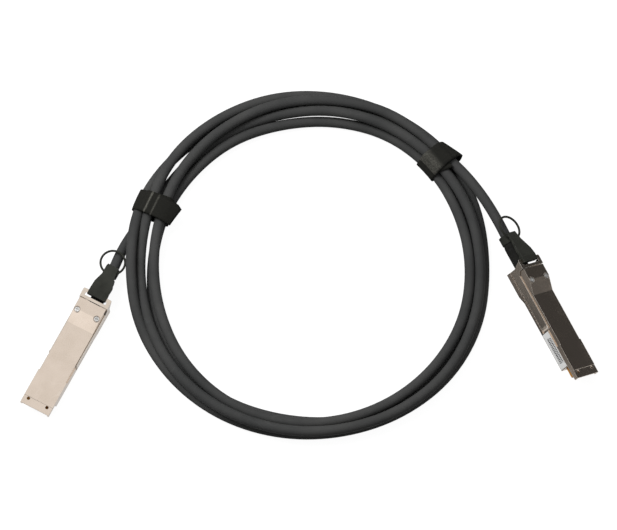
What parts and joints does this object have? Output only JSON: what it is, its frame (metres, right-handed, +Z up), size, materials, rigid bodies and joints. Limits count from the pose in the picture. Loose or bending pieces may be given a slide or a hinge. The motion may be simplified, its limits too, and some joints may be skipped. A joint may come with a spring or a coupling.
{
  "type": "direct attach copper cable",
  "caption": "Coiled twinax cord with a metal pluggable module, sprung pull-tab latch and finger ring at each end, held by two hook-and-loop straps.",
  "frame": {"origin": "centre of the base of the box round everything but the cord, its coil and its straps, on the surface it lies on", "axes": "+Z up, +X from one module to the other, -Y to the side the modules' noses point to"},
  "size_m": [0.3304, 0.2076, 0.0261],
  "materials": {
    "nickel_casting": "satin nickel plating",
    "slider_steel": "satin",
    "tab_plastic": "matte moulded",
    "card_laminate": "solder mask",
    "contact_gold": "hard gold plating",
    "chip_resin": "matte",
    "pair_foil": "bright foil",
    "ferrule_brass": "satin",
    "boot_rubber": "matte",
    "spring_steel": "bright wire",
    "screw_steel": "bright",
    "label_paper": "matte paper",
    "cord_jacket": "smooth satin jacket",
    "strap_fabric": "woven loop pile"
  },
  "bodies": {
    "cable": {"upper_shell_a": "nickel_casting", "lower_shell_a": "nickel_casting", "paddle_card_a": "card_laminate", "contact_pads_a": "contact_gold", "memory_chip_a": "chip_resin", "conductor_pairs_a": "pair_foil", "crimp_ferrule_a": "ferrule_brass", "strain_relief_a": "boot_rubber", "return_springs_a": "spring_steel", "shell_screws_a": "screw_steel", "upper_shell_b": "nickel_casting", "lower_shell_b": "nickel_casting", "paddle_card_b": "card_laminate", "contact_pads_b": "contact_gold", "memory_chip_b": "chip_resin", "conductor_pairs_b": "pair_foil", "crimp_ferrule_b": "ferrule_brass", "strain_relief_b": "boot_rubber", "return_springs_b": "spring_steel", "shell_screws_b": "screw_steel", "side_label_b": "label_paper", "cable_coil": "cord_jacket", "strap_left": "strap_fabric", "strap_right": "strap_fabric", "cable_lead_a": "cord_jacket", "cable_lead_b": "cord_jacket"},
    "release_a": {"release_slider_a": "slider_steel", "pull_tab_a": "tab_plastic"},
    "release_b": {"release_slider_b": "slider_steel", "pull_tab_b": "tab_plastic"}
  },
  "joints": [
    {"name": "release_slide_a", "type": "slide", "parent": "cable", "child": "release_a", "axis": [0.4739, 0.8802, 0.0262], "range_m": [0, 0.0024], "stiffness_N_per_m": 600, "springref_m": -0.002, "deforming": ["return_springs_a"]},
    {"name": "release_slide_b", "type": "slide", "parent": "cable", "child": "release_b", "axis": [-0.4708, 0.8781, 0.0854], "range_m": [0, 0.0024], "stiffness_N_per_m": 600, "springref_m": -0.002, "deforming": ["return_springs_b"]}
  ]
}
